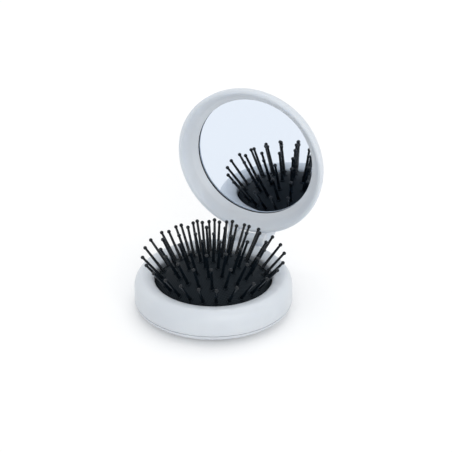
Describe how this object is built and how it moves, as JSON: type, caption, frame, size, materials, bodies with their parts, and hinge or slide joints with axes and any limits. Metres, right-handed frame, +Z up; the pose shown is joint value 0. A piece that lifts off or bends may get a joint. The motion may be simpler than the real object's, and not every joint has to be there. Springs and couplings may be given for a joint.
{
  "type": "folding hairbrush with mirror",
  "caption": "Round folding hairbrush: black ball-tipped pins on a domed rubber pad in a frosted base, with a hinged lid that holds a mirror.",
  "frame": {"origin": "centre of the base's round foot, on the table", "axes": "+Z up, +Y from the brush's centre towards the hinge, X along the hinge"},
  "size_m": [0.0656, 0.0796, 0.0823],
  "materials": {
    "frosted_plastic": "frosted translucent moulded plastic, satin",
    "mirror_glass": "silvered glass",
    "mirror_foam": "closed-cell foam",
    "pad_rubber": "black rubber with a fine diamond texture",
    "pin_nylon": "glossy black nylon",
    "black_plastic": "satin black moulded plastic",
    "hinge_steel": "drawn wire"
  },
  "bodies": {
    "base": {"base_shell": "frosted_plastic", "base_bezel": "frosted_plastic", "pad_ring": "frosted_plastic", "rubber_pad": "pad_rubber"},
    "lid": {"lid_bezel": "frosted_plastic", "lid_shell": "frosted_plastic", "mirror_glass": "mirror_glass", "mirror_backing": "mirror_foam", "hinge_pin": "hinge_steel"},
    "button": {"push_button": "black_plastic", "lift_plate": "black_plastic", "centre_pins": "pin_nylon"},
    "middle_pins": {"middle_pins": "pin_nylon"},
    "inner_pins_1": {"inner_pins_1": "pin_nylon"},
    "inner_pins_2": {"inner_pins_2": "pin_nylon"},
    "inner_pins_3": {"inner_pins_3": "pin_nylon"},
    "inner_pins_4": {"inner_pins_4": "pin_nylon"},
    "inner_pins_5": {"inner_pins_5": "pin_nylon"},
    "inner_pins_6": {"inner_pins_6": "pin_nylon"},
    "outer_pins_1": {"outer_pins_1": "pin_nylon"},
    "outer_pins_2": {"outer_pins_2": "pin_nylon"},
    "outer_pins_3": {"outer_pins_3": "pin_nylon"},
    "outer_pins_4": {"outer_pins_4": "pin_nylon"},
    "outer_pins_5": {"outer_pins_5": "pin_nylon"},
    "outer_pins_6": {"outer_pins_6": "pin_nylon"},
    "outer_pins_7": {"outer_pins_7": "pin_nylon"},
    "outer_pins_8": {"outer_pins_8": "pin_nylon"},
    "outer_pins_9": {"outer_pins_9": "pin_nylon"},
    "outer_pins_10": {"outer_pins_10": "pin_nylon"},
    "outer_pins_11": {"outer_pins_11": "pin_nylon"},
    "outer_pins_12": {"outer_pins_12": "pin_nylon"}
  },
  "joints": [
    {"name": "lid_fold", "type": "hinge", "parent": "base", "child": "lid", "pos_m": [0, 0.0351, 0.0146], "axis": [-1, 0, 0], "range_deg": [-91.7, 0], "deforming": ["rubber_pad"]},
    {"name": "button_press", "type": "slide", "parent": "base", "child": "button", "axis": [0, 0, 1], "range_m": [-0.0137, 0]},
    {"name": "middle_pins_drop", "type": "slide", "parent": "base", "child": "middle_pins", "axis": [0, 0, 1], "range_m": [-0.01204, 0]},
    {"name": "inner_pins_1_lean", "type": "hinge", "parent": "base", "child": "inner_pins_1", "pos_m": [0.03248, 0.02029, 0.01237], "axis": [-0.5299, 0.848, 0], "range_deg": [-24.52, 0]},
    {"name": "inner_pins_2_lean", "type": "hinge", "parent": "base", "child": "inner_pins_2", "pos_m": [-0.00134, 0.03827, 0.01237], "axis": [-0.9994, -0.0349, 0], "range_deg": [-24.52, 0]},
    {"name": "inner_pins_3_lean", "type": "hinge", "parent": "base", "child": "inner_pins_3", "pos_m": [-0.03381, 0.01798, 0.01237], "axis": [-0.4695, -0.8829, 0], "range_deg": [-24.52, 0]},
    {"name": "inner_pins_4_lean", "type": "hinge", "parent": "base", "child": "inner_pins_4", "pos_m": [-0.03248, -0.02029, 0.01237], "axis": [0.5299, -0.848, 0], "range_deg": [-24.52, 0]},
    {"name": "inner_pins_5_lean", "type": "hinge", "parent": "base", "child": "inner_pins_5", "pos_m": [0.00134, -0.03827, 0.01237], "axis": [0.9994, 0.0349, 0], "range_deg": [-24.52, 0]},
    {"name": "inner_pins_6_lean", "type": "hinge", "parent": "base", "child": "inner_pins_6", "pos_m": [0.03381, -0.01798, 0.01237], "axis": [0.4695, 0.8829, 0], "range_deg": [-24.52, 0]},
    {"name": "outer_pins_1_lean", "type": "hinge", "parent": "base", "child": "outer_pins_1", "pos_m": [0.02946, 0.01043, 0.01068], "axis": [-0.3338, 0.9426, 0], "range_deg": [-34.38, 0]},
    {"name": "outer_pins_2_lean", "type": "hinge", "parent": "base", "child": "outer_pins_2", "pos_m": [0.0203, 0.02377, 0.01068], "axis": [-0.7604, 0.6494, 0], "range_deg": [-34.38, 0]},
    {"name": "outer_pins_3_lean", "type": "hinge", "parent": "base", "child": "outer_pins_3", "pos_m": [0.0057, 0.03073, 0.01068], "axis": [-0.9833, 0.1822, 0], "range_deg": [-34.38, 0]},
    {"name": "outer_pins_4_lean", "type": "hinge", "parent": "base", "child": "outer_pins_4", "pos_m": [-0.01043, 0.02946, 0.01068], "axis": [-0.9426, -0.3338, 0], "range_deg": [-34.38, 0]},
    {"name": "outer_pins_5_lean", "type": "hinge", "parent": "base", "child": "outer_pins_5", "pos_m": [-0.02377, 0.0203, 0.01068], "axis": [-0.6494, -0.7604, 0], "range_deg": [-34.38, 0]},
    {"name": "outer_pins_6_lean", "type": "hinge", "parent": "base", "child": "outer_pins_6", "pos_m": [-0.03073, 0.0057, 0.01068], "axis": [-0.1822, -0.9833, 0], "range_deg": [-34.38, 0]},
    {"name": "outer_pins_7_lean", "type": "hinge", "parent": "base", "child": "outer_pins_7", "pos_m": [-0.02946, -0.01043, 0.01068], "axis": [0.3338, -0.9426, 0], "range_deg": [-34.38, 0]},
    {"name": "outer_pins_8_lean", "type": "hinge", "parent": "base", "child": "outer_pins_8", "pos_m": [-0.0203, -0.02377, 0.01068], "axis": [0.7604, -0.6494, 0], "range_deg": [-34.38, 0]},
    {"name": "outer_pins_9_lean", "type": "hinge", "parent": "base", "child": "outer_pins_9", "pos_m": [-0.0057, -0.03073, 0.01068], "axis": [0.9833, -0.1822, 0], "range_deg": [-34.38, 0]},
    {"name": "outer_pins_10_lean", "type": "hinge", "parent": "base", "child": "outer_pins_10", "pos_m": [0.01043, -0.02946, 0.01068], "axis": [0.9426, 0.3338, 0], "range_deg": [-34.38, 0]},
    {"name": "outer_pins_11_lean", "type": "hinge", "parent": "base", "child": "outer_pins_11", "pos_m": [0.02377, -0.0203, 0.01068], "axis": [0.6494, 0.7604, 0], "range_deg": [-34.38, 0]},
    {"name": "outer_pins_12_lean", "type": "hinge", "parent": "base", "child": "outer_pins_12", "pos_m": [0.03073, -0.0057, 0.01068], "axis": [0.1822, 0.9833, 0], "range_deg": [-34.38, 0]}
  ],
  "couplings": [
    {"joint": "button_press", "follows": "lid_fold", "m_per_rad": 0.0084975},
    {"joint": "middle_pins_drop", "follows": "lid_fold", "m_per_rad": 0.0074633},
    {"joint": "inner_pins_1_lean", "follows": "lid_fold", "ratio": 0.26518},
    {"joint": "inner_pins_2_lean", "follows": "lid_fold", "ratio": 0.26518},
    {"joint": "inner_pins_3_lean", "follows": "lid_fold", "ratio": 0.26518},
    {"joint": "inner_pins_4_lean", "follows": "lid_fold", "ratio": 0.26518},
    {"joint": "inner_pins_5_lean", "follows": "lid_fold", "ratio": 0.26518},
    {"joint": "inner_pins_6_lean", "follows": "lid_fold", "ratio": 0.26518},
    {"joint": "outer_pins_1_lean", "follows": "lid_fold", "ratio": 0.37269},
    {"joint": "outer_pins_2_lean", "follows": "lid_fold", "ratio": 0.37269},
    {"joint": "outer_pins_3_lean", "follows": "lid_fold", "ratio": 0.37269},
    {"joint": "outer_pins_4_lean", "follows": "lid_fold", "ratio": 0.37269},
    {"joint": "outer_pins_5_lean", "follows": "lid_fold", "ratio": 0.37269},
    {"joint": "outer_pins_6_lean", "follows": "lid_fold", "ratio": 0.37269},
    {"joint": "outer_pins_7_lean", "follows": "lid_fold", "ratio": 0.37269},
    {"joint": "outer_pins_8_lean", "follows": "lid_fold", "ratio": 0.37269},
    {"joint": "outer_pins_9_lean", "follows": "lid_fold", "ratio": 0.37269},
    {"joint": "outer_pins_10_lean", "follows": "lid_fold", "ratio": 0.37269},
    {"joint": "outer_pins_11_lean", "follows": "lid_fold", "ratio": 0.37269},
    {"joint": "outer_pins_12_lean", "follows": "lid_fold", "ratio": 0.37269}
  ]
}
